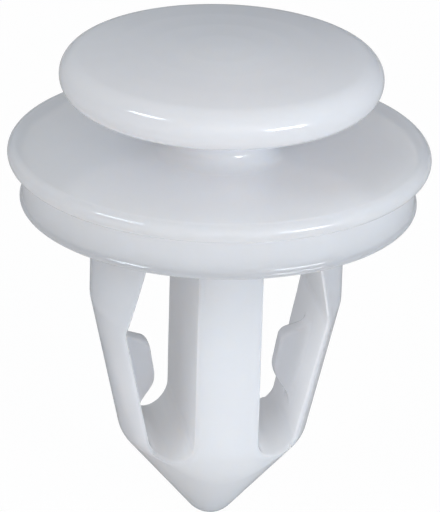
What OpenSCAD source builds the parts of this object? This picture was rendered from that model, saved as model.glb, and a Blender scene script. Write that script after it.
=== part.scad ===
// Push-in trim clip: a domed head and a lipped flange on a short neck, over a
// slotted stem whose two sprung legs snap behind the edge of a panel hole.
// The seat, which is the underside of the flange, is at z = 0, with the head above
// it and the stem below; the two legs stand to the left and right of the plate.

/* [Head] */
// Diameter of the head disc
head_d = 15.24; // [13:0.1:18]
// Thickness of the head disc at its rounded rim
head_t = 1.98; // [1.4:0.05:3]
// Rise of the domed top above the rim
head_crown = 0.35; // [0.1:0.05:0.8]

/* [Neck] */
// Diameter of the neck between head and flange
neck_d = 5; // [3.5:0.1:7]
// Open height of the groove, from the flange's lip up to the head
neck_gap = 2.46; // [1.4:0.1:4]
// Fillet at the foot of the neck
neck_foot_r = 0.8; // [0.3:0.05:1]
// Fillet under the head
neck_top_r = 0.5; // [0.2:0.05:1]

/* [Flange] */
// Diameter over the lip
flange_d = 20; // [17:0.1:26]
// Thickness of the lip, which is fully rounded
lip_t = 0.92; // [0.7:0.02:1.4]
// How far the lip stands out past the band below it
lip_out = 0.7; // [0.4:0.05:1.5]
// Height of the band, from the seat up to the lip
band_h = 1.97; // [1.5:0.05:3]
// Rounding of the band's lower edge
band_edge_r = 0.25; // [0.1:0.05:0.5]
// Fall of the flange's top, from the lip in to the foot of the neck
dish_fall = 0.3; // [0:0.05:1]

/* [Stem] */
// Diameter over the two legs at their shoulders
stem_d = 12.04; // [10.5:0.1:14]
// Depth of the shoulders below the seat
shoulder_z = 4.8; // [3.5:0.01:6]
// Diameter over the legs where the nose starts
nose_d = 9; // [8:0.1:10]
// Depth of the nose's start below the seat
nose_z = 11.8; // [11:0.1:14]
// Length of the stem, from the seat to the end of the tip
stem_len = 16.45; // [15:0.1:20]
// Radius of the rounded tip
tip_r = 1.35; // [0.8:0.05:1.8]
// Rounding of the shoulders and of the nose's start
bend_r = 1.5; // [0.4:0.1:2]

/* [Centre plate] */
// Thickness of the plate between the legs
plate_t = 3.08; // [2:0.05:4]
// Depth of the plate from front to back
plate_w = 7.9; // [6.5:0.1:8]

/* [Legs] */
// Thickness of a leg at its root under the flange
root_t = 1.88; // [1.2:0.02:2.2]
// Height of the straight root below the seat
root_z = 1.75; // [1:0.05:2.5]
// Thickness of a leg below its shoulder
leg_t = 1.05; // [0.8:0.01:1.3]
// Depth of the slots' floor below the seat
slot_z = 12.1; // [11.5:0.1:13]
// Rounding of the slots' floor beside the plate
slot_floor_r = 1; // [0.3:0.05:1.1]

/* [Leg stops] */
// Thickness of the stop ribs inside the legs
stop_w = 1; // [0.6:0.05:2]
// Gap between a stop rib and the plate
stop_gap = 1.34; // [0.8:0.01:1.6]
// Depth of a stop's upper corner below the seat
stop_z = 7.05; // [6.4:0.1:7.8]
// Height of a stop's inner face
stop_h = 2.05; // [1:0.1:2.4]

/* [Hidden] */

round_fn = 96; // facets of a full turn
arc_steps = 6; // edges of a rounded corner
sunk = 0.3; // how far one form of the moulding runs into the next
stop_top_lean = 17; // slope of a stop's upper face
stop_face_lean = 10; // lean of a stop's inner face
stop_foot_lean = 33; // lean of a stop's lower edge, back out to the leg
stop_corner_r = 0.3;

function unit(v) = v / norm(v);
function turned(v, a) = [v.x * cos(a) - v.y * sin(a), v.x * sin(a) + v.y * cos(a)];

// Points of an arc about a centre
function arc(centre, r, from, to, steps) =
    [for (i = [0 : steps]) let (a = from + (to - from) * i / steps) centre + r * [cos(a), sin(a)]];

// Points of the corner at b, between a and c, rounded by radius r
function corner(a, b, c, r) =
    r <= 0 ? [b] :
    let (
        u = unit(a - b),
        w = unit(c - b),
        half = acos(u * w) / 2,
        centre = b + unit(u + w) * r / sin(half),
        first = b + u * r / tan(half) - centre,
        last = b + w * r / tan(half) - centre,
        sweep = (180 - 2 * half) * sign(cross(first, last))
    )
    [for (i = [0 : arc_steps]) centre + turned(first, sweep * i / arc_steps)];

// Closed outline through the points, each corner rounded by the radius of the same place
function rounded(pts, radii) =
    let (n = len(pts))
    [for (i = [0 : n - 1]) each corner(pts[(i + n - 1) % n], pts[i], pts[(i + 1) % n], radii[i])];

// Flange: a band under a rounded lip, and a shallow dish that falls straight from
// the lip to the fillet at the foot of the neck
neck_r = neck_d / 2;
lip_r = lip_t / 2;
lip_centre = [flange_d / 2 - lip_r, band_h + lip_r];
band_r = flange_d / 2 - lip_out;
floor_z = band_h + lip_t - dish_fall;
foot_centre = [neck_r + neck_foot_r, floor_z + neck_foot_r];
dish_run = lip_centre - foot_centre;
dish_lean = atan2(dish_run.y, dish_run.x) + asin((lip_r + neck_foot_r) / norm(dish_run));
flange_outline = concat(
    [[0, 0]],
    arc([band_r - band_edge_r, band_edge_r], band_edge_r, -90, 0, arc_steps),
    [[band_r, band_h]],
    arc(lip_centre, lip_r, -90, 90 + dish_lean, 2 * arc_steps),
    arc(foot_centre, neck_foot_r, 270 + dish_lean, 180, arc_steps),
    [[0, foot_centre.y]]
);

// Head: a disc with a rounded rim that runs smoothly into its domed top
head_z = band_h + lip_t + neck_gap;
head_top = head_z + head_t + head_crown;
rim_r = head_t / 2;
rim_centre = [head_d / 2 - rim_r, head_z + rim_r];
dome_r = (rim_centre.x ^ 2 + head_crown ^ 2) / (2 * head_crown) + rim_r;
dome_lean = asin(rim_centre.x / (dome_r - rim_r));
head_outline = concat(
    [[0, head_z]],
    arc(rim_centre, rim_r, -90, 90 - dome_lean, 2 * arc_steps),
    arc([0, head_top - dome_r], dome_r, 90 - dome_lean, 90, arc_steps)
);
neck_outline = concat(
    [[0, floor_z - sunk], [neck_r, floor_z - sunk]],
    arc([neck_r + neck_top_r, head_z - neck_top_r], neck_top_r, 180, 90, arc_steps),
    [[neck_r + neck_top_r, head_z + sunk], [0, head_z + sunk]]
);

// Stem: straight to the shoulders, tapered to the nose, then straight to the round tip
stem_r = stem_d / 2;
shoulder = [stem_r, -shoulder_z];
nose = [nose_d / 2, -nose_z];
tip_centre = [0, tip_r - stem_len];
nose_run = nose - tip_centre;
nose_lean = acos(tip_r / norm(nose_run)) - atan2(nose_run.y, nose_run.x);
nose_end = tip_centre + tip_r * [cos(nose_lean), -sin(nose_lean)];
stem_side = concat(
    corner([stem_r, 0], shoulder, nose, bend_r),
    corner(shoulder, nose, nose_end, bend_r),
    arc(tip_centre, tip_r, -nose_lean, -90, arc_steps)
);
taper = (shoulder.x - nose.x) / (shoulder.y - nose.y);

// Distance from the axis to a leg's inner face along its taper, and through its middle
function leg_inner(z) = stem_r - leg_t + taper * (z + shoulder_z);
function leg_middle(z) = leg_inner(z) + leg_t / 2;

// Slot between the plate and a leg, seen from the front
belly_z = -shoulder_z - leg_t / 2;
slot_foot_x = leg_inner(-slot_z);
slot_foot_r = slot_foot_x - plate_t / 2 - slot_floor_r;
slot_outline = rounded(
    [
        [plate_t / 2, sunk / 2],
        [plate_t / 2, -slot_z],
        [slot_foot_x, -slot_z],
        [leg_inner(belly_z), belly_z],
        [stem_r - root_t, -root_z],
        [stem_r - root_t, sunk / 2]
    ],
    [0, slot_floor_r, slot_foot_r, bend_r, bend_r, 0]
);

// Stop rib, seen from the front, with its outer side sunk in the leg
stop_low = [plate_t / 2 + stop_gap, -stop_z - stop_h];
stop_high = stop_low + stop_h * [tan(stop_face_lean), 1];
stop_top_x = leg_middle(stop_high.y);
stop_top = [stop_top_x, stop_high.y + (stop_top_x - stop_high.x) * tan(stop_top_lean)];
stop_foot_x = leg_middle(stop_low.y - leg_t);
stop_foot = [stop_foot_x, stop_low.y - (stop_foot_x - stop_low.x) / tan(stop_foot_lean)];
stop_outline = rounded([stop_top, stop_high, stop_low, stop_foot], [0, stop_corner_r, stop_corner_r, 0]);

module ring(outline) {
    rotate_extrude($fn = round_fn) polygon(outline);
}

// Repeats what is drawn on the right also on the left
module both_sides() {
    children();
    rotate(180) children();
}

module head() {
    ring(head_outline);
    ring(neck_outline);
}

module flange() {
    ring(flange_outline);
}

module slot() {
    rotate([90, 0, 0]) linear_extrude(2 * stem_d, center = true) polygon(slot_outline);
}

// What is cut away in front of the plate, down past the nose's start
module plate_face() {
    translate([-slot_foot_x, plate_w / 2, -stem_len]) cube([2 * slot_foot_x, stem_r, stem_len + sunk / 2]);
}

module stem() {
    difference() {
        ring(concat([[0, sunk], [stem_r, sunk]], stem_side));
        both_sides() slot();
        both_sides() plate_face();
    }
}

module leg_stop() {
    rotate([90, 0, 0]) linear_extrude(stop_w, center = true) polygon(stop_outline);
}

module clip_body() {
    color("whitesmoke") {
        head();
        flange();
        stem();
        both_sides() leg_stop();
    }
}

clip_body();
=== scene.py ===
import math

import bmesh
import bpy
import numpy as np
from mathutils import Matrix, Vector


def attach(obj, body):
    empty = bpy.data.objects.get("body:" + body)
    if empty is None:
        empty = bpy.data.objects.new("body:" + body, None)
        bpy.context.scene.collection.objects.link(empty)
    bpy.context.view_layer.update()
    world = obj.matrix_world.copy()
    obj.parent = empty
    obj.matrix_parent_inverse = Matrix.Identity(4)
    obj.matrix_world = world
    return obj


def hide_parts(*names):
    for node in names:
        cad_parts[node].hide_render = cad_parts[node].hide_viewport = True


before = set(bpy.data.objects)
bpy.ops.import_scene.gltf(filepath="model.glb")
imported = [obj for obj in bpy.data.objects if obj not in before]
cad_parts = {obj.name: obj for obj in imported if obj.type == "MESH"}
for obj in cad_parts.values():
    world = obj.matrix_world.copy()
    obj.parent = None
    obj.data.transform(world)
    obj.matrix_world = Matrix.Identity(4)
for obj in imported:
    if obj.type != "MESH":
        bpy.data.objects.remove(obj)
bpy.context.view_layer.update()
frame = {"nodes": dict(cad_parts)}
print("frame loaded:", ", ".join(frame["nodes"]))

scene = bpy.context.scene
mm = 0.001  # metres


# A node's output, so that sums on it add their own Math nodes
class Value:
    def __init__(self, tree, socket):
        self.tree = tree
        self.socket = socket

    def math(self, operation, *others):
        return self.tree.add("ShaderNodeMath", {"operation": operation}, dict(enumerate((self, *others))))

    def swapped(self, operation, other):
        return self.tree.add("ShaderNodeMath", {"operation": operation}, {0: other, 1: self})

    def __add__(self, other):
        return self.math("ADD", other)

    def __sub__(self, other):
        return self.math("SUBTRACT", other)

    def __rsub__(self, other):
        return self.swapped("SUBTRACT", other)

    def __mul__(self, other):
        return self.math("MULTIPLY", other)

    def __truediv__(self, other):
        return self.math("DIVIDE", other)

    def __rtruediv__(self, other):
        return self.swapped("DIVIDE", other)

    def __pow__(self, other):
        return self.math("POWER", other)

    __radd__ = __add__
    __rmul__ = __mul__

    # Kept between 0 and 1
    def clamped(self):
        return self.tree.add("ShaderNodeClamp", {}, {"Value": self})

    # Goes softly from 0 at low to 1 at high
    def spread(self, low, high):
        return self.tree.add("ShaderNodeMapRange", {"interpolation_type": "SMOOTHSTEP"},
                             {"Value": self, "From Min": low, "From Max": high})


class Tree:
    def __init__(self, nodes):
        self.nodes = nodes.nodes
        self.links = nodes.links

    # One node: its settings first, then the values or links of its sockets
    def add(self, kind, settings=None, sockets=None, out=0):
        node = self.nodes.new(kind)
        for name, value in (settings or {}).items():
            setattr(node, name, value)
        for name, value in (sockets or {}).items():
            if isinstance(value, Value):
                self.links.new(value.socket, node.inputs[name])
            else:
                node.inputs[name].default_value = value
        if out is None:
            return node
        return Value(self, node.outputs[out])


def newMaterial(name):
    material = bpy.data.materials.new(name)
    material.use_nodes = True
    material.node_tree.nodes.clear()
    return material, Tree(material.node_tree)


# Direction from the clip at a turn and a rise in degrees, where a turn of 0 is its front
def towards(turn, rise):
    turn, rise = math.radians(turn), math.radians(rise)
    return Vector((math.sin(turn) * math.cos(rise), -math.cos(turn) * math.cos(rise), math.sin(rise)))


# Camera, at the photograph's angle
view = {
    "azimuth": -11.35,  # degrees
    "elevation": 22.51,  # degrees
    "roll": 1.645,  # degrees that the clip leans to the right
    "distance": 200,  # mm from the aimed point
    "aimHeight": 2.157,  # mm of the aimed point above the seat, on the clip's axis
    "scale": 21.202,  # pixels in a mm at the aimed point
    "aimPixel": (218.867, 157.023),  # where that point falls in the picture, with pixels counted from 0
    "picture": (440, 512),
    "near": 10,  # mm from the camera where its sight starts
    "far": 10000,  # mm from the camera where it ends
}


def makeCamera():
    turn, lean = math.radians(view["azimuth"]), math.radians(view["roll"])
    wide, high = view["picture"]
    focal = view["scale"] * view["distance"]
    away = towards(view["azimuth"], view["elevation"])
    level = Vector((math.cos(turn), math.sin(turn), 0))
    upright = away.cross(level)
    right = level * math.cos(lean) + upright * math.sin(lean)
    up = upright * math.cos(lean) - level * math.sin(lean)
    aim = Vector((0, 0, view["aimHeight"])) * mm
    offRight = (view["aimPixel"][0] - (wide - 1) / 2) / focal
    offUp = ((high - 1) / 2 - view["aimPixel"][1]) / focal
    back = (away + right * offRight + up * offUp).normalized()
    right = (right - back * right.dot(back)).normalized()
    up = back.cross(right)
    camera = bpy.data.objects.new("camera", bpy.data.cameras.new("camera"))
    camera.data.sensor_fit = "HORIZONTAL"
    camera.data.lens = camera.data.sensor_width * focal / wide
    camera.data.clip_start = view["near"] * mm
    camera.data.clip_end = view["far"] * mm
    facing = Matrix((right, up, back)).transposed().to_4x4()
    camera.matrix_world = Matrix.Translation(aim + away * view["distance"] * mm) @ facing
    scene.collection.objects.link(camera)
    scene.camera = camera


makeCamera()
print("camera placed")


# Head, neck and flange: one profile turned round the clip's axis, in mm
head = {"diameter": 15.24, "thick": 1.98, "crown": 0.35}
neck = {"diameter": 5, "gap": 2.46, "footRadius": 0.8, "topRadius": 0.5}
flange = {
    "diameter": 20,
    "lip": 0.92,  # thickness of the fully rounded lip
    "lipOut": 0.7,  # how far the lip stands out past the band
    "band": 1.97,  # height of the band, from the seat up to the lip
    "bandEdge": 0.18,  # rounding of the band's lower edge
    "bead": 0.1,  # how far that edge stands out past the band
    "beadSweep": 0.3,  # radius of the curve from the bead back to the band
    "crease": 0.22,  # fillet under the lip
    "floor": 2.59,  # height of the flange's top at the neck's foot
}
turning = {
    "segments": 180,
    "stepAngle": 7,  # most degrees from one point of an arc to the next
    "arcSteps": 4,  # fewest steps of an arc
    "stepLength": 0.4,  # most mm between the points along a longer step, on average
    "weld": 0.001,  # mm between points that are merged
}


# Points of an arc from one angle to another, in degrees
def arcPoints(centre, radius, start, end):
    steps = max(turning["arcSteps"], math.ceil(abs(end - start) / turning["stepAngle"]))
    angles = np.radians(np.linspace(start, end, steps + 1))
    return [(centre[0] + radius * math.cos(a), centre[1] + radius * math.sin(a)) for a in angles]


# The profile with points added along its long steps, closer together near their ends
def withRuns(points):
    filled = [points[0]]
    for a, b in zip(points, points[1:]):
        length = math.dist(a, b)
        steps = math.ceil(length / turning["stepLength"])
        if steps > 1:
            for step in range(1, steps):
                share = (1 - math.cos(math.pi * step / steps)) / 2
                filled.append((a[0] + (b[0] - a[0]) * share, a[1] + (b[1] - a[1]) * share))
        filled.append(b)
    return filled


def topProfile():
    lip = flange["lip"] / 2
    lipCentre = (flange["diameter"] / 2 - lip, flange["band"] + lip)
    bandRadius = flange["diameter"] / 2 - flange["lipOut"]
    edge, crease, sweep = flange["bandEdge"], flange["crease"], flange["beadSweep"]
    beadCentre = (bandRadius + flange["bead"] - edge, edge)
    beadLean = math.degrees(math.acos(1 - flange["bead"] / (edge + sweep)))
    sweepCentre = (bandRadius + sweep, edge + (edge + sweep) * math.sin(math.radians(beadLean)))
    creaseCentre = (bandRadius + crease, flange["band"] - crease)
    neckRadius = neck["diameter"] / 2
    foot = neck["footRadius"]
    footCentre = (neckRadius + foot, flange["floor"] + foot)
    run = (lipCentre[0] - footCentre[0], lipCentre[1] - footCentre[1])
    lean = math.degrees(math.atan2(run[1], run[0]) + math.asin((lip + foot) / math.hypot(*run)))
    headBase = flange["band"] + flange["lip"] + neck["gap"]
    rim = head["thick"] / 2
    rimCentre = (head["diameter"] / 2 - rim, headBase + rim)
    dome = (rimCentre[0] ** 2 + head["crown"] ** 2) / (2 * head["crown"]) + rim
    domeLean = math.degrees(math.asin(rimCentre[0] / (dome - rim)))
    headTop = headBase + head["thick"] + head["crown"]
    top = neck["topRadius"]
    return withRuns(
        [(0, 0)]
        + arcPoints(beadCentre, edge, -90, beadLean)
        + arcPoints(sweepCentre, sweep, 180 + beadLean, 180)
        + arcPoints(creaseCentre, crease, 180, 90)
        + arcPoints(lipCentre, lip, -90, 90 + lean)
        + arcPoints(footCentre, foot, 270 + lean, 180)
        + arcPoints((neckRadius + top, headBase - top), top, 180, 90)
        + arcPoints(rimCentre, rim, -90, 90 - domeLean)
        + arcPoints((0, headTop - dome), dome, 90 - domeLean, 90)[:-1]
        + [(0, headTop)]
    )


# Tree that turns the points of a profile, which lie in the XZ plane, round the Z axis
def turningTree():
    group = bpy.data.node_groups.new("turnedProfile", "GeometryNodeTree")
    for name, way, kind in (("Profile", "INPUT", "Geometry"), ("Segments", "INPUT", "Int"),
                            ("Material", "INPUT", "Material"), ("Turned", "OUTPUT", "Geometry")):
        group.interface.new_socket(name, in_out=way, socket_type="NodeSocket" + kind)
    tree = Tree(group)
    given = tree.add("NodeGroupInput", out=None)
    profile = Value(tree, given.outputs["Profile"])
    segments = Value(tree, given.outputs["Segments"])
    material = Value(tree, given.outputs["Material"])
    count = tree.add("GeometryNodeAttributeDomainSize", {}, {"Geometry": profile})
    grid = tree.add("GeometryNodeMeshGrid", {}, {"Vertices X": segments + 1, "Vertices Y": count})
    index = tree.add("GeometryNodeInputIndex")
    column = (index / count).math("FLOOR")
    position = tree.add("GeometryNodeInputPosition")
    spot = tree.add("GeometryNodeSampleIndex", {"data_type": "FLOAT_VECTOR"},
                    {"Geometry": profile, "Value": position, "Index": index - column * count})
    turned = tree.add("ShaderNodeVectorRotate", {"rotation_type": "Z_AXIS"},
                      {"Vector": spot, "Angle": column / segments * math.tau})
    placed = tree.add("GeometryNodeSetPosition", {}, {"Geometry": grid, "Position": turned})
    merged = tree.add("GeometryNodeMergeByDistance", {},
                      {"Geometry": placed, "Distance": turning["weld"] * mm})
    real = tree.add("GeometryNodeRealizeInstances", {}, {"Geometry": merged})
    coated = tree.add("GeometryNodeSetMaterial", {}, {"Geometry": real, "Material": material})
    tree.add("NodeGroupOutput", {}, {"Turned": coated}, out=None)
    return group


def meshObject(name, mesh):
    made = bpy.data.objects.new(name, mesh)
    scene.collection.objects.link(made)
    return made


# The plain mesh that an object's modifiers make
def plainMesh(piece, name):
    graph = bpy.context.evaluated_depsgraph_get()
    mesh = bpy.data.meshes.new_from_object(piece.evaluated_get(graph), depsgraph=graph)
    mesh.name = name
    return mesh


# Sets the named input of a modifier's tree, by the input's identifier
def setInput(modifier, name, value):
    for item in modifier.node_group.interface.items_tree:
        if item.name == name and item.in_out == "INPUT":
            modifier[item.identifier] = value


def pointOutwards(mesh):
    work = bmesh.new()
    work.from_mesh(mesh)
    bmesh.ops.recalc_face_normals(work, faces=work.faces)
    if work.calc_volume(signed=True) < 0:
        bmesh.ops.reverse_faces(work, faces=work.faces)
    work.to_mesh(mesh)
    work.free()


def makeTop(material):
    points = [(r * mm, 0, z * mm) for r, z in topProfile()]
    line = bpy.data.meshes.new("profile")
    line.from_pydata(points, [(i, i + 1) for i in range(len(points) - 1)], [])
    rough = meshObject("profile", line)
    turned = rough.modifiers.new("turned", "NODES")
    turned.node_group = turningTree()
    setInput(turned, "Segments", turning["segments"])
    setInput(turned, "Material", material)
    mesh = plainMesh(rough, "top")
    bpy.data.objects.remove(rough)
    pointOutwards(mesh)
    print("head and flange turned:", len(mesh.polygons), "faces")
    return meshObject("top", mesh)


# Stem: plate, legs and stops as one rounded form, in mm and degrees
stem = {
    "diameter": 12.04,  # over the two legs at their shoulders
    "shoulder": 4.8,  # depth of the shoulders below the seat
    "noseDiameter": 9,
    "noseDepth": 11.8,
    "length": 16.45,
    "tipRadius": 1.35,
    "bendRadius": 1.5,  # rounding of the shoulders and of the nose's start
    "edge": 0.22,  # rounding of the edges along the slots
    "facetEdge": 0.9,  # rounding where the plate's flat faces run out into the nose
}
plate = {"thick": 3.08, "width": 7.9}
leg = {
    "rootThick": 1.88,
    "rootDepth": 1.75,  # how far down the straight root reaches
    "thick": 1.05,  # below the shoulder
    "slotDepth": 12.1,
    "slotRadius": 1,  # rounding of the slot's floor beside the plate
}
stop = {
    "width": 1.0,
    "gap": 1.34,  # to the plate
    "depth": 7.05,  # of the upper corner below the seat
    "height": 2.05,
    "topLean": 17,
    "faceLean": 10,
    "footLean": 33,
    "corner": 0.3,  # rounding of the two inner corners
    "edge": 0.14,  # rounding of the edges to the front and back
    "fillet": 0.3,  # rounding where the stop meets the leg
}
# How the stem's mesh is cut from the CAD solid and settled onto its rounded form, in mm
settling = {
    "bendSteps": 24,  # steps of a rounded bend in a profile
    "profileTop": 1,  # height where the profiles start, inside the flange
    "profileEnd": -20,  # height where the leg's inner profile ends, past the tip
    "voxel": 0.125,
    "weld": 0.0001,  # distance between points of the CAD solid that are merged
    "cut": 0.02,  # depth below the seat where the solid's top is cut off
    "nearCut": 0.01,  # depth below the cut of points that count as on it
    "onCut": 0.00001,  # distance from the cut's plane of points that it doesn't divide
    "sunk": 0.3,  # how far the stem then runs up into the flange
    "rounds": 8,
    "probe": 0.004,  # distance to each side over which the field's slope is taken
    "leastSlope": 0.25,  # squared slope that a move divides by at least
    "stride": 0.1,  # furthest move of a point in one round
}


# Points of the corner at b, between a and c, rounded by a radius
def corner(a, b, c, radius):
    a, b, c = (np.array(p, float) for p in (a, b, c))
    u, w = (a - b) / np.linalg.norm(a - b), (c - b) / np.linalg.norm(c - b)
    half = math.acos(u @ w) / 2
    centre = b + (u + w) / np.linalg.norm(u + w) * radius / math.sin(half)
    first = b + u * radius / math.tan(half) - centre
    last = b + w * radius / math.tan(half) - centre
    sweep = (math.pi - 2 * half) * np.sign(first[0] * last[1] - first[1] * last[0])
    turns = sweep * np.arange(settling["bendSteps"] + 1) / settling["bendSteps"]
    return [(centre[0] + first[0] * math.cos(t) - first[1] * math.sin(t),
             centre[1] + first[0] * math.sin(t) + first[1] * math.cos(t)) for t in turns]


# Distance from what lies in both of two forms, with the edge between them rounded
def bothInside(a, b, radius):
    outside = np.hypot(np.maximum(a + radius, 0), np.maximum(b + radius, 0))
    return np.minimum(-radius, np.maximum(a, b)) + outside


# Distance from what lies in one of two forms or in both, with the crease between them filled
def eitherInside(a, b, radius):
    return -bothInside(-a, -b, radius)


# Distance past the straight line through two points, positive to the right of the way from a to b
def pastLine(x, z, a, b):
    dx, dz = b[0] - a[0], b[1] - a[1]
    return ((x - a[0]) * dz - (z - a[1]) * dx) / math.hypot(dx, dz)


leastRise = 1e-9  # mm between two points of a profile, so that nothing is divided by zero


# Reach of a profile at each height, with the share that turns a reach into a distance
def reach(profile, z):
    rows = np.array(sorted(profile, key=lambda p: p[1]))
    reaches, heights = rows[:, 0], rows[:, 1]
    leans = np.diff(reaches) / np.maximum(np.diff(heights), leastRise)
    lean = np.interp(z, (heights[1:] + heights[:-1]) / 2, leans)
    return np.interp(z, heights, reaches), 1 / np.sqrt(1 + lean ** 2)


stemRadius = stem["diameter"] / 2
shoulder = (stemRadius, -stem["shoulder"])
nose = (stem["noseDiameter"] / 2, -stem["noseDepth"])
tipHeight = stem["tipRadius"] - stem["length"]
noseRun = (nose[0], nose[1] - tipHeight)
noseLean = math.acos(stem["tipRadius"] / math.hypot(*noseRun)) - math.atan2(noseRun[1], noseRun[0])
noseEnd = (stem["tipRadius"] * math.cos(noseLean), tipHeight - stem["tipRadius"] * math.sin(noseLean))
taper = (shoulder[0] - nose[0]) / (shoulder[1] - nose[1])
outerTop = (stemRadius, settling["profileTop"])
outerProfile = [
    outerTop,
    *corner(outerTop, shoulder, nose, stem["bendRadius"]),
    *corner(shoulder, nose, noseEnd, stem["bendRadius"]),
    noseEnd,
]


# Distance from the axis to the inner face of a leg, along its taper
def legInner(z):
    return stemRadius - leg["thick"] + taper * (z + stem["shoulder"])


bellyDepth = stem["shoulder"] + leg["thick"] / 2
belly = (legInner(-bellyDepth), -bellyDepth)
root = (stemRadius - leg["rootThick"], -leg["rootDepth"])
slotFoot = (legInner(-leg["slotDepth"]), -leg["slotDepth"])
innerTop = (root[0], settling["profileTop"])
innerProfile = [
    innerTop,
    *corner(innerTop, root, belly, stem["bendRadius"]),
    *corner(root, belly, slotFoot, stem["bendRadius"]),
    (legInner(settling["profileEnd"]), settling["profileEnd"]),
]
stopLow = (plate["thick"] / 2 + stop["gap"], -stop["depth"] - stop["height"])
stopHigh = (stopLow[0] + stop["height"] * math.tan(math.radians(stop["faceLean"])), -stop["depth"])
topLean, footLean = math.radians(stop["topLean"]), math.radians(stop["footLean"])
stopTop = (stopHigh[0] + math.cos(topLean), stopHigh[1] + math.sin(topLean))
stopFoot = (stopLow[0] + math.sin(footLean), stopLow[1] - math.cos(footLean))


# Distance in mm from the stem's surface, less than zero inside it
def stemField(points):
    x, y, z = np.abs(points[:, 0]), np.abs(points[:, 1]), points[:, 2]
    r = np.hypot(points[:, 0], points[:, 1])
    outer, share = reach(outerProfile, z)
    outside = np.where(z < noseEnd[1], np.hypot(r, z - tipHeight) - stem["tipRadius"], (r - outer) * share)
    faced = bothInside(outside, np.minimum(y - plate["width"] / 2, slotFoot[0] - x), stem["facetEdge"])
    faced = np.where(x < slotFoot[0], faced, outside)
    inner, share = reach(innerProfile, z)
    legSide = (x - inner) * share
    slot = bothInside(plate["thick"] / 2 - x, -leg["slotDepth"] - z, leg["slotRadius"])
    slot = bothInside(slot, legSide, slotFoot[0] - plate["thick"] / 2 - leg["slotRadius"])
    body = bothInside(faced, -slot, stem["edge"])
    rib = bothInside(pastLine(x, z, stopTop, stopHigh), pastLine(x, z, stopHigh, stopLow), stop["corner"])
    rib = bothInside(rib, pastLine(x, z, stopLow, stopFoot), stop["corner"])
    rib = np.maximum(rib, legSide - leg["thick"] / 2)
    rib = bothInside(rib, y - stop["width"] / 2, stop["edge"])
    return np.maximum(eitherInside(body, rib, stop["fillet"]), z - settling["sunk"])


# Slope of that distance at each point, in X, Y and Z
def slopes(points):
    probe = settling["probe"]
    return np.stack([(stemField(points + probe * way) - stemField(points - probe * way)) / (2 * probe)
                     for way in np.eye(3)], 1)


def makeStem(material):
    work = bmesh.new()
    work.from_mesh(frame["nodes"]["clip_body"].data)
    bmesh.ops.remove_doubles(work, verts=work.verts, dist=settling["weld"] * mm)
    cut = bmesh.ops.bisect_plane(work, geom=work.verts[:] + work.edges[:] + work.faces[:],
                                 dist=settling["onCut"] * mm, plane_co=(0, 0, -settling["cut"] * mm),
                                 plane_no=(0, 0, 1), clear_outer=True)
    bmesh.ops.holes_fill(work, edges=[e for e in cut["geom_cut"] if isinstance(e, bmesh.types.BMEdge)])
    for end in work.verts:
        if end.co.z > -(settling["cut"] + settling["nearCut"]) * mm:
            end.co.z = settling["sunk"] * mm
    mesh = bpy.data.meshes.new("stem")
    work.to_mesh(mesh)
    work.free()
    rough = meshObject("stemRough", mesh)
    remesh = rough.modifiers.new("voxels", "REMESH")
    remesh.mode = "VOXEL"
    remesh.voxel_size = settling["voxel"] * mm
    remesh.adaptivity = 0
    mesh = plainMesh(rough, "stem")
    bpy.data.objects.remove(rough)
    spots = np.empty(len(mesh.vertices) * 3)
    mesh.vertices.foreach_get("co", spots)
    spots = spots.reshape(-1, 3) / mm
    for _ in range(settling["rounds"]):
        slope = slopes(spots)
        size = np.maximum((slope ** 2).sum(1, keepdims=True), settling["leastSlope"])
        spots -= np.clip(stemField(spots)[:, None] / size, -settling["stride"], settling["stride"]) * slope
    print("stem settled, furthest point off by", round(float(np.abs(stemField(spots)).max()), 4), "mm")
    mesh.vertices.foreach_set("co", (spots * mm).ravel())
    mesh.update()
    mesh.materials.clear()
    mesh.materials.append(material)
    pointOutwards(mesh)
    return meshObject("stem", mesh)


# Clip: the turned top and the stem joined to one closed mesh
sharpAngle = 40  # degrees between two faces past which their edge is shaded sharp
clipPlastic, plasticTree = newMaterial("clipPlastic")


def makeClip():
    top = makeTop(clipPlastic)
    lower = makeStem(clipPlastic)
    print("stem:", len(lower.data.polygons), "faces")
    join = top.modifiers.new("joined", "BOOLEAN")
    join.operation = "UNION"
    join.solver = "MANIFOLD"
    join.object = lower
    mesh = plainMesh(top, "clip")
    for piece in (top, lower):
        bpy.data.objects.remove(piece)
    mesh.shade_smooth()
    mesh.set_sharp_from_angle(angle=math.radians(sharpAngle))
    clip = meshObject("clip", mesh)
    triangles = sum(len(p.vertices) - 2 for p in mesh.polygons)
    print("clip joined:", len(mesh.polygons), "faces,", triangles, "triangles")
    return clip


clip = makeClip()
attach(clip, "root")
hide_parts("clip_body")


# White moulded plastic
plastic = {
    "colour": (0.958, 0.952, 0.974),
    "cloudScale": 220,  # slow cloudiness, in clouds to the metre
    "cloudDetail": 3,
    "cloudRange": (0.3, 0.7),  # of the noise, from the darkest to the lightest
    "cloudShade": 0.975,  # colour of the darkest clouds, where 1 is the plain colour
    "roughness": 0.065,
    "roughRange": 0.06,  # how far it goes from a noise of 0 to a noise of 1
    "refraction": 1.5,
    "glow": 15,  # mm that light travels inside
    "glowTint": (1, 0.86, 0.74),
    "waveScale": 420,  # slow waves in the moulded surface, in waves to the metre
    "waveDetail": 1,
    "waveDepth": 0.0025,  # mm
}


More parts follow.
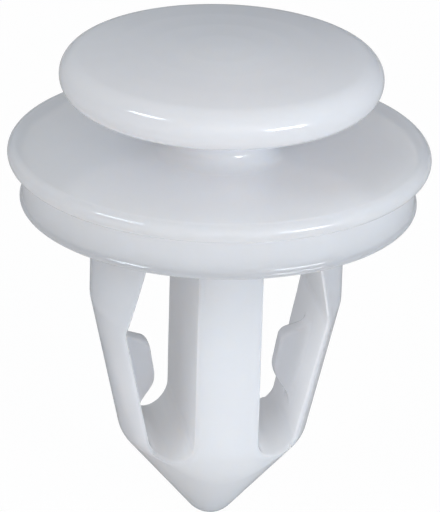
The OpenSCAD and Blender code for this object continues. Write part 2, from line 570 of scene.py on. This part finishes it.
def paintPlastic(tree):
    spot = tree.add("ShaderNodeTexCoord", out="Object")
    cloud = tree.add("ShaderNodeTexNoise", {},
                     {"Vector": spot, "Scale": plastic["cloudScale"], "Detail": plastic["cloudDetail"]})
    wave = tree.add("ShaderNodeTexNoise", {},
                    {"Vector": spot, "Scale": plastic["waveScale"], "Detail": plastic["waveDetail"]})
    plain = plastic["colour"]
    dark = [plastic["cloudShade"] * c for c in plain]
    shade = tree.add("ShaderNodeMix", {"data_type": "RGBA"},
                     {"Factor": cloud.spread(*plastic["cloudRange"]), "A": (*dark, 1), "B": (*plain, 1)},
                     out="Result")
    middle = sum(plastic["cloudRange"]) / 2
    rough = plastic["roughness"] + (cloud - middle) * plastic["roughRange"]
    bump = tree.add("ShaderNodeBump", {},
                    {"Strength": 1, "Distance": plastic["waveDepth"] * mm, "Height": wave})
    shader = tree.add("ShaderNodeBsdfPrincipled", {},
                      {"Base Color": shade, "Roughness": rough, "Normal": bump,
                       "IOR": plastic["refraction"], "Subsurface Weight": 1,
                       "Subsurface Radius": plastic["glowTint"], "Subsurface Scale": plastic["glow"] * mm})
    tree.add("ShaderNodeOutputMaterial", {}, {"Surface": shader}, out=None)


paintPlastic(plasticTree)
print("plastic mixed")


# Studio: a pale floor, a room with soft glows in it and three lamps
studio = {
    "floorHeight": -16.5,  # mm, just under the tip
    "floorSize": 3000,  # mm
    "floorShade": 0.56,
    "floorWhite": 0.9,  # how much of the floor is plain white to the camera, where the rest takes shadows
    "floorGlow": 1.06,  # strength of that white, which makes up for the rest
    "mirrored": 0.45,  # how much of the glows shows in reflections
}
# Turn and rise in degrees, sharpness, strength where 1 is white, and colour
glows = {
    "front": (0, 5, 4, 2.45, (1.09, 0.99, 0.92)),
    "right": (50, 8, 4, 0.92, (0.82, 1.02, 1.16)),
    "farRight": (95, 20, 4, 0.69, (1, 0.95, 1.05)),
    "backLeft": (-145, 30, 4, 0.86, (1, 1, 1)),
    "back": (180, 8, 8, 0.38, (0.8, 1, 1.2)),
}
# Turn and rise in degrees, distance, width and height in mm, strength where 1 is white, colour, and
# whether the lamp only shows as a streak on glossy edges
lamps = {
    "key": (33, 3, 300, 140, 17, 28, (0.85, 1, 1.15), False),
    "side": (-69, 36, 300, 128, 46, 12.3, (0.87, 0.98, 1.1), False),
    "streak": (36, 4, 300, 150, 50, 9, (1, 1, 1), True),
}


def makeFloor():
    material, tree = newMaterial("floorWhite")
    seen = tree.add("ShaderNodeLightPath", out="Is Camera Ray")
    diffuse = tree.add("ShaderNodeBsdfDiffuse", {}, {"Color": (*[studio["floorShade"]] * 3, 1)})
    white = tree.add("ShaderNodeEmission", {}, {"Color": (1, 1, 1, 1), "Strength": studio["floorGlow"]})
    mixed = tree.add("ShaderNodeMixShader", {}, {0: seen * studio["floorWhite"], 1: diffuse, 2: white})
    tree.add("ShaderNodeOutputMaterial", {}, {"Surface": mixed}, out=None)
    half = studio["floorSize"] / 2 * mm
    height = studio["floorHeight"] * mm
    corners = [(-half, -half, height), (half, -half, height), (half, half, height), (-half, half, height)]
    mesh = bpy.data.meshes.new("floor")
    mesh.from_pydata(corners, [], [(0, 1, 2, 3)])
    mesh.materials.append(material)
    meshObject("floor", mesh)


# Light comes from the glows, and what the camera sees behind the clip is plain white
def makeRoom():
    world = bpy.data.worlds.new("room")
    world.use_nodes = True
    world.node_tree.nodes.clear()
    tree = Tree(world.node_tree)
    sight = tree.add("ShaderNodeTexCoord", out="Generated")
    light = (0, 0, 0)
    for turn, rise, sharpness, strength, colour in glows.values():
        facing = tree.add("ShaderNodeVectorMath", {"operation": "DOT_PRODUCT"},
                          {0: sight, 1: towards(turn, rise)}, out="Value")
        light = tree.add("ShaderNodeVectorMath", {"operation": "MULTIPLY_ADD"},
                         {0: facing.clamped() ** sharpness, 1: [strength * c for c in colour], 2: light})
    path = tree.add("ShaderNodeLightPath", out=None)
    seen, glossy = (Value(tree, path.outputs[name]) for name in ("Is Camera Ray", "Is Glossy Ray"))
    light = tree.add("ShaderNodeMix", {"data_type": "RGBA"},
                     {"Factor": seen, "A": light, "B": (1, 1, 1, 1)}, out="Result")
    dimmed = 1 - glossy * (1 - studio["mirrored"])
    sky = tree.add("ShaderNodeBackground", {}, {"Color": light, "Strength": dimmed})
    tree.add("ShaderNodeOutputWorld", {}, {"Surface": sky}, out=None)
    scene.world = world


def makeLamps():
    for name, (turn, rise, distance, wide, high, strength, colour, onlyShine) in lamps.items():
        way = towards(turn, rise)
        data = bpy.data.lights.new(name, "AREA")
        data.shape = "RECTANGLE"
        data.size, data.size_y = wide * mm, high * mm
        data.color = colour
        data.energy = strength * math.pi * data.size * data.size_y  # watts that give its face that strength
        lamp = bpy.data.objects.new(name, data)
        lamp.location = way * distance * mm
        lamp.rotation_euler = way.to_track_quat("Z", "Y").to_euler()
        lamp.visible_diffuse = not onlyShine
        scene.collection.objects.link(lamp)


makeFloor()
makeRoom()
makeLamps()
scene.view_settings.view_transform = "Standard"
print("studio lit")
